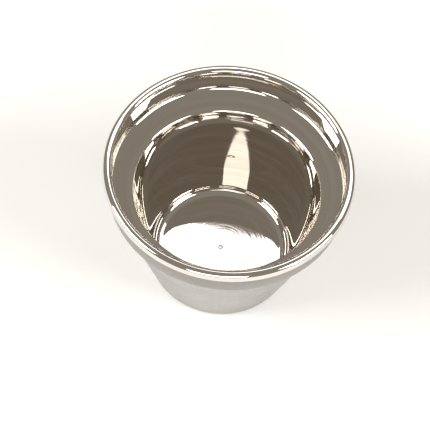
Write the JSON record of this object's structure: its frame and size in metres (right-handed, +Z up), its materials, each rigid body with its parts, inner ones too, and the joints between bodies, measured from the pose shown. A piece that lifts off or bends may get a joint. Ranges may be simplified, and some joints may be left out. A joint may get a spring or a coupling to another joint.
{
  "type": "shaving mug",
  "caption": "Open double-walled steel shaving mug with a rolled rim, a stepped inside wall, a shouldered outside wall and a narrow foot.",
  "frame": {"origin": "centre of the circle that the foot rests on", "axes": "+Z up along the mug's axis, out of its mouth; X and Y are any two directions square to it, as the mug is round"},
  "size_m": [0.09, 0.09, 0.06],
  "materials": {
    "polished_steel": "mirror polished with fine turning marks",
    "satin_steel": "fine satin, brushed round the axis",
    "plain_steel": "spun satin with rings round the centre",
    "weld_steel": "dull, as welded and wiped",
    "seal_rubber": "matt"
  },
  "bodies": {
    "root": {"inner_liner": "polished_steel", "outer_jacket": "satin_steel", "rim_seal": "seal_rubber", "base_plate": "plain_steel", "base_weld": "weld_steel", "vent_plug": "weld_steel"}
  },
  "joints": []
}
